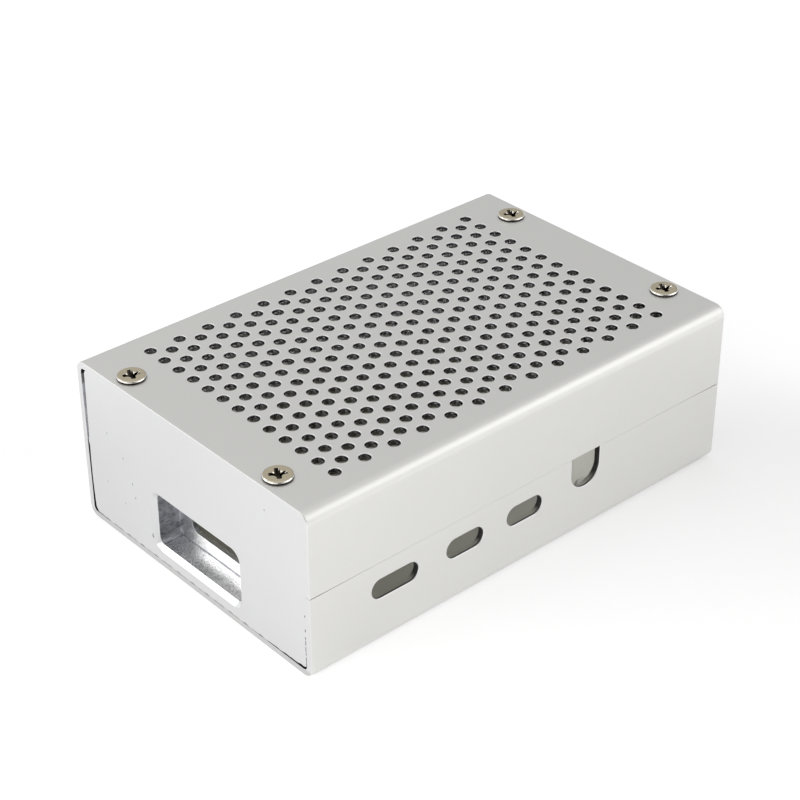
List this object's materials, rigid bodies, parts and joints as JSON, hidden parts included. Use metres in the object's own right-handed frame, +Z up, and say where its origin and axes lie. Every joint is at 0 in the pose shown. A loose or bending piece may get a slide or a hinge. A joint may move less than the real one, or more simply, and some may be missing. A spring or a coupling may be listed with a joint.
{
  "type": "single-board computer case",
  "caption": "Flat rectangular metal case for a single-board computer, of folded shells and machined end plates, with a perforated lid, port openings and a card pocket.",
  "frame": {"origin": "middle of the underside, on the plane that the case stands on", "axes": "+X along the length towards the jack end, +Y away from the port wall, +Z up"},
  "size_m": [0.0934, 0.0606, 0.0318],
  "materials": {
    "shell": "bead-blasted, clear anodised",
    "plate": "bead-blasted, clear anodised, with a bright milled pocket",
    "screw": "bright nickel plating",
    "press_nut": "turned, satin"
  },
  "bodies": {
    "root": {"upper_shell": "shell", "lower_shell": "shell", "card_end_plate": "plate", "jack_end_plate": "plate", "lid_screws": "screw", "base_screws": "screw", "press_nut_card_near": "press_nut", "press_nut_card_far": "press_nut", "press_nut_jack_near": "press_nut", "press_nut_jack_far": "press_nut"}
  },
  "joints": []
}
